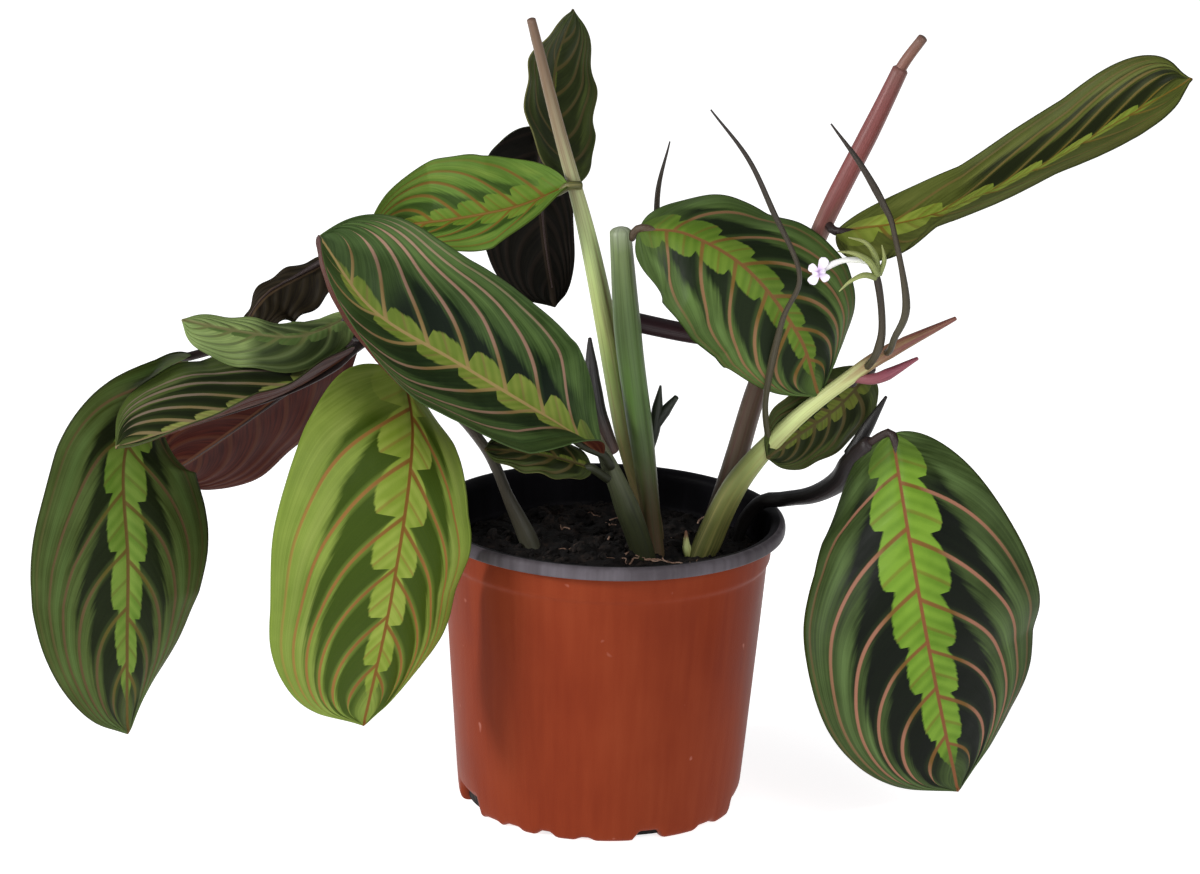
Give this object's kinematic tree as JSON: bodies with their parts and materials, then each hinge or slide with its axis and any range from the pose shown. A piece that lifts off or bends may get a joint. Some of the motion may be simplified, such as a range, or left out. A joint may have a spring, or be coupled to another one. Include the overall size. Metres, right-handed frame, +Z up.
{
  "type": "potted prayer plant",
  "caption": "Prayer plant with broad patterned leaves on thin stems, standing in peat in a tapered round nursery pot with a rolled lip",
  "frame": {"origin": "centre of the flat pad under the pot, on the surface that the pot stands on", "axes": "+Z up, +X to the right along the plant's widest spread, -Y towards the front"},
  "size_m": [0.3743, 0.1651, 0.2682],
  "materials": {
    "pot_plastic": "terracotta-coloured thermoformed polypropylene, satin",
    "peat": null,
    "stem_green": null,
    "stem_red": "reddish living stem, waxy",
    "stem_dark": "nearly black living stem",
    "petal": "thin pale petal",
    "leaf": "satin living leaf, patterned green with red veins, burgundy beneath",
    "leaf_young": "satin young leaf, yellow-green"
  },
  "bodies": {
    "root": {"pot": "pot_plastic", "soil": "peat", "stem_tall_left": "stem_green", "stem_middle": "stem_green", "stem_short": "stem_green", "stem_left_runner": "stem_green", "stem_bright": "stem_green", "stem_tall_right": "stem_red", "stem_dark_runner": "stem_dark", "stem_cross": "stem_dark", "stalk_a": "stem_dark", "stalk_b": "stem_dark", "stalk_c": "stem_dark", "stalk_d": "stem_dark", "sprout": "stem_dark", "flower": "petal", "leaf_right_hanging": "leaf", "leaf_front_light": "leaf_young", "leaf_left_hanging": "leaf", "leaf_left_folded": "leaf", "leaf_left_under": "leaf", "leaf_front_striped": "leaf", "leaf_front_small": "leaf", "leaf_left_dark": "leaf", "leaf_left_back": "leaf", "leaf_upper_bright": "leaf", "leaf_upper_under": "leaf", "leaf_top": "leaf", "leaf_middle": "leaf", "leaf_upper_right": "leaf", "leaf_right_small": "leaf"}
  },
  "joints": []
}
